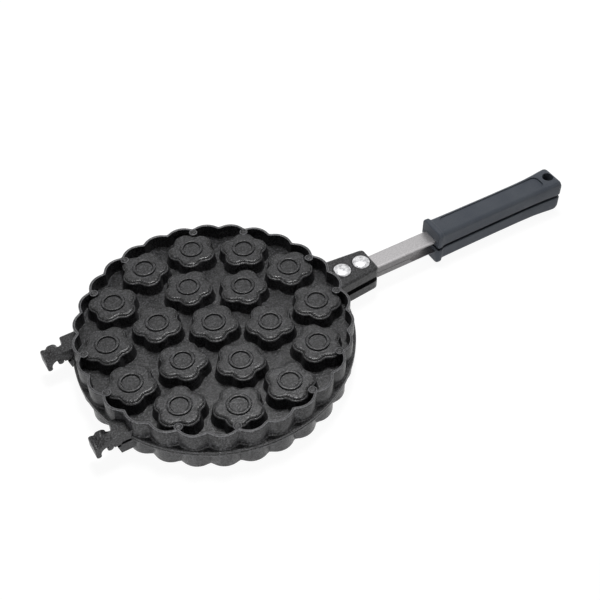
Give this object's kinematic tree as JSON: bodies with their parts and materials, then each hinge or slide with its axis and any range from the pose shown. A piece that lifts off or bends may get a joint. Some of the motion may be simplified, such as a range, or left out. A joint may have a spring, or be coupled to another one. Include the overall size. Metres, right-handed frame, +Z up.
{
  "type": "egg waffle pan",
  "caption": "Round stovetop waffle pan of hinged cast halves with blossom-shaped cups, scalloped skirts, riveted steel handles and moulded grips.",
  "frame": {"origin": "centre of the middle cup's base, in the plane on which the closed pan rests", "axes": "+X along the handles, +Z up, out of the upper half's cup bases"},
  "size_m": [0.4268, 0.2032, 0.036],
  "materials": {
    "cast_coated": "fine speckled charcoal coating on cast aluminium, satin",
    "strap_steel": "lightly brushed",
    "rivet_metal": "bright, turned",
    "grip_moulding": "slate grey heat-resistant moulding, fine satin",
    "screw_steel": "zinc plated"
  },
  "bodies": {
    "upper_half": {"upper_mould": "cast_coated", "upper_handle_channel": "strap_steel", "upper_grip": "grip_moulding", "upper_inner_rivet": "rivet_metal", "upper_outer_rivet": "rivet_metal", "upper_front_grip_screw": "screw_steel", "upper_back_grip_screw": "screw_steel"},
    "lower_half": {"lower_mould": "cast_coated", "lower_handle_channel": "strap_steel", "lower_grip": "grip_moulding", "lower_inner_rivet": "rivet_metal", "lower_outer_rivet": "rivet_metal", "lower_front_grip_screw": "screw_steel", "lower_back_grip_screw": "screw_steel"}
  },
  "joints": [
    {"name": "pan_hinge", "type": "hinge", "parent": "lower_half", "child": "upper_half", "pos_m": [-0.1036, 0, 0.0161], "axis": [0, -1, 0], "range_deg": [0, 95]}
  ]
}
